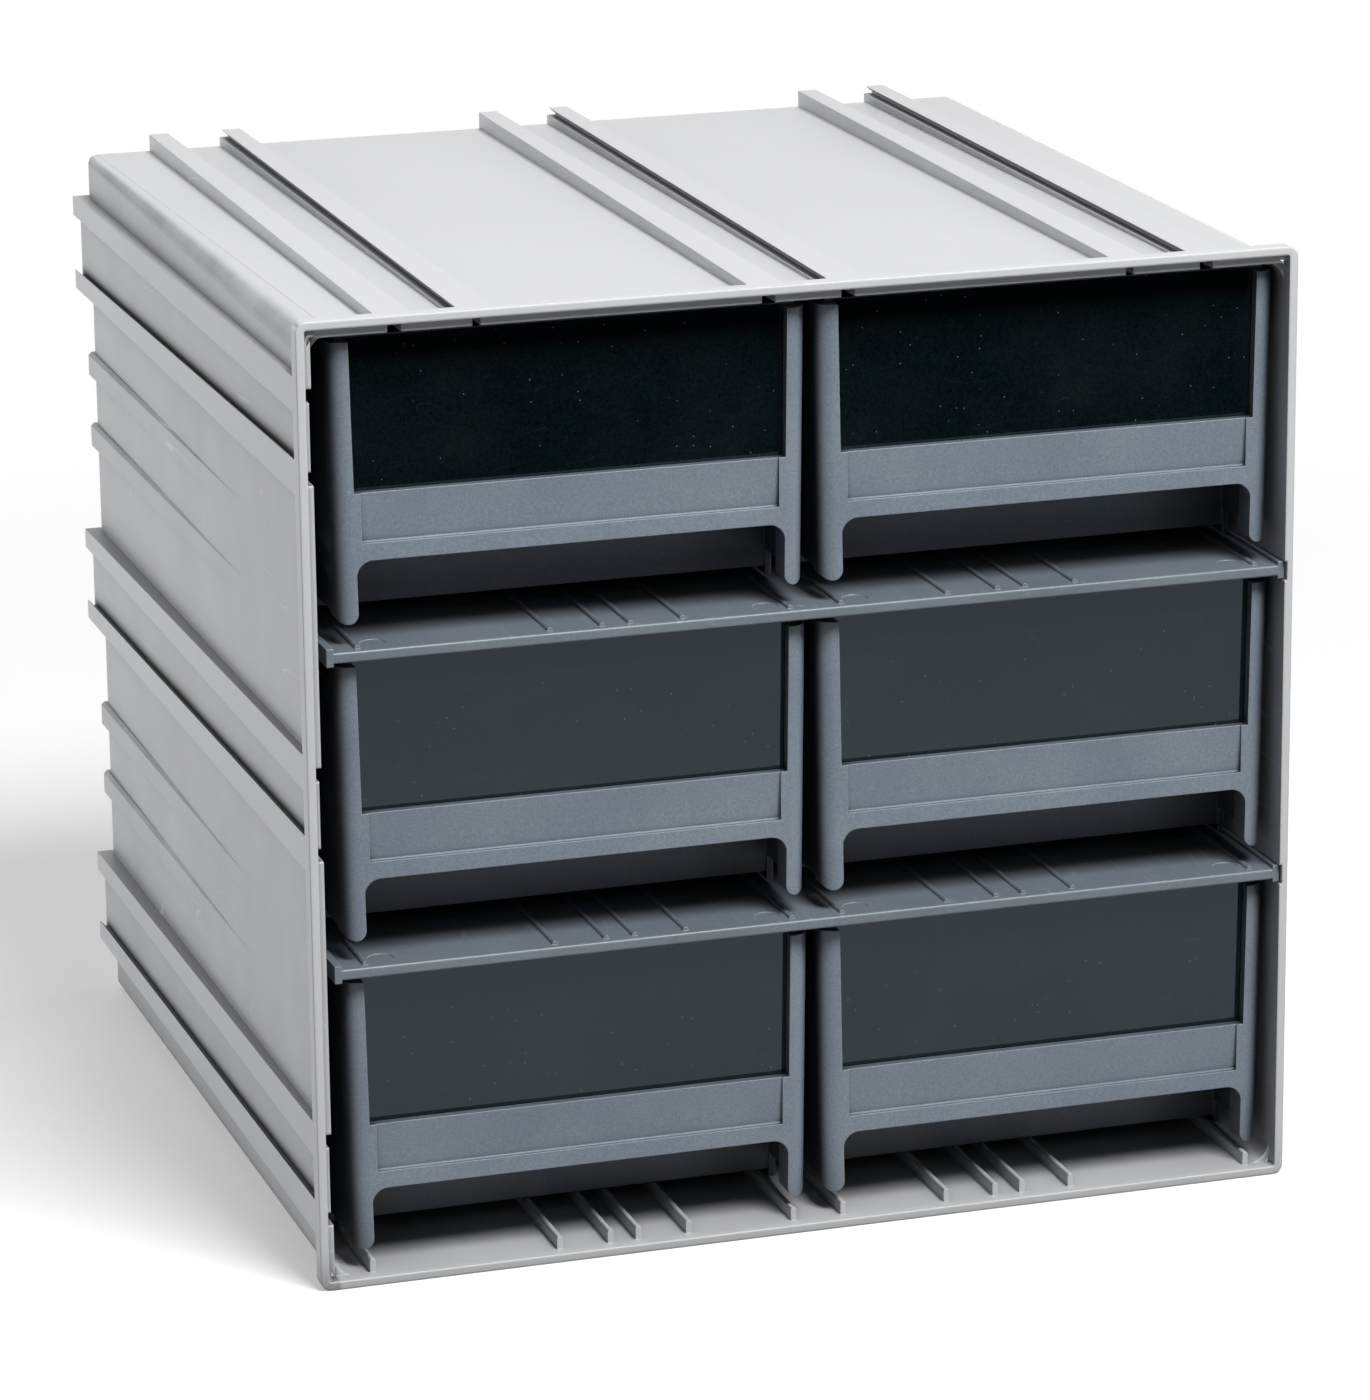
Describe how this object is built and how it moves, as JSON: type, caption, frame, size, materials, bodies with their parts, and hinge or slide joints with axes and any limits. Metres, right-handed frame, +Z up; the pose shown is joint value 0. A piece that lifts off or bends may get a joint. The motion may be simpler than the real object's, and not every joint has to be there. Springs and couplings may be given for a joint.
{
  "type": "parts bin cabinet",
  "caption": "Stackable parts bin cabinet: moulded shell with joining rails, push-in shelves, and sliding drawers with a window set in each front.",
  "frame": {"origin": "middle of the base, on the plane the cabinet stands on", "axes": "+X to the right seen from the front, +Y from the front to the back, +Z up"},
  "size_m": [0.298, 0.288, 0.284],
  "materials": {
    "shell_plastic": "satin",
    "shelf_plastic": "satin",
    "drawer_plastic": "satin",
    "window_plastic": "gloss"
  },
  "bodies": {
    "cabinet": {"cabinet_shell": "shell_plastic", "shelf_lower": "shelf_plastic", "shelf_upper": "shelf_plastic"},
    "bottom_left": {"drawer_bottom_left": "drawer_plastic", "window_bottom_left": "window_plastic"},
    "bottom_right": {"drawer_bottom_right": "drawer_plastic", "window_bottom_right": "window_plastic"},
    "middle_left": {"drawer_middle_left": "drawer_plastic", "window_middle_left": "window_plastic"},
    "middle_right": {"drawer_middle_right": "drawer_plastic", "window_middle_right": "window_plastic"},
    "top_left": {"drawer_top_left": "drawer_plastic", "window_top_left": "window_plastic"},
    "top_right": {"drawer_top_right": "drawer_plastic", "window_top_right": "window_plastic"}
  },
  "joints": [
    {"name": "slide_bottom_left", "type": "slide", "parent": "cabinet", "child": "bottom_left", "axis": [0, -1, 0], "range_m": [0, 0.22]},
    {"name": "slide_bottom_right", "type": "slide", "parent": "cabinet", "child": "bottom_right", "axis": [0, -1, 0], "range_m": [0, 0.22]},
    {"name": "slide_middle_left", "type": "slide", "parent": "cabinet", "child": "middle_left", "axis": [0, -1, 0], "range_m": [0, 0.22]},
    {"name": "slide_middle_right", "type": "slide", "parent": "cabinet", "child": "middle_right", "axis": [0, -1, 0], "range_m": [0, 0.22]},
    {"name": "slide_top_left", "type": "slide", "parent": "cabinet", "child": "top_left", "axis": [0, -1, 0], "range_m": [0, 0.22]},
    {"name": "slide_top_right", "type": "slide", "parent": "cabinet", "child": "top_right", "axis": [0, -1, 0], "range_m": [0, 0.22]}
  ]
}
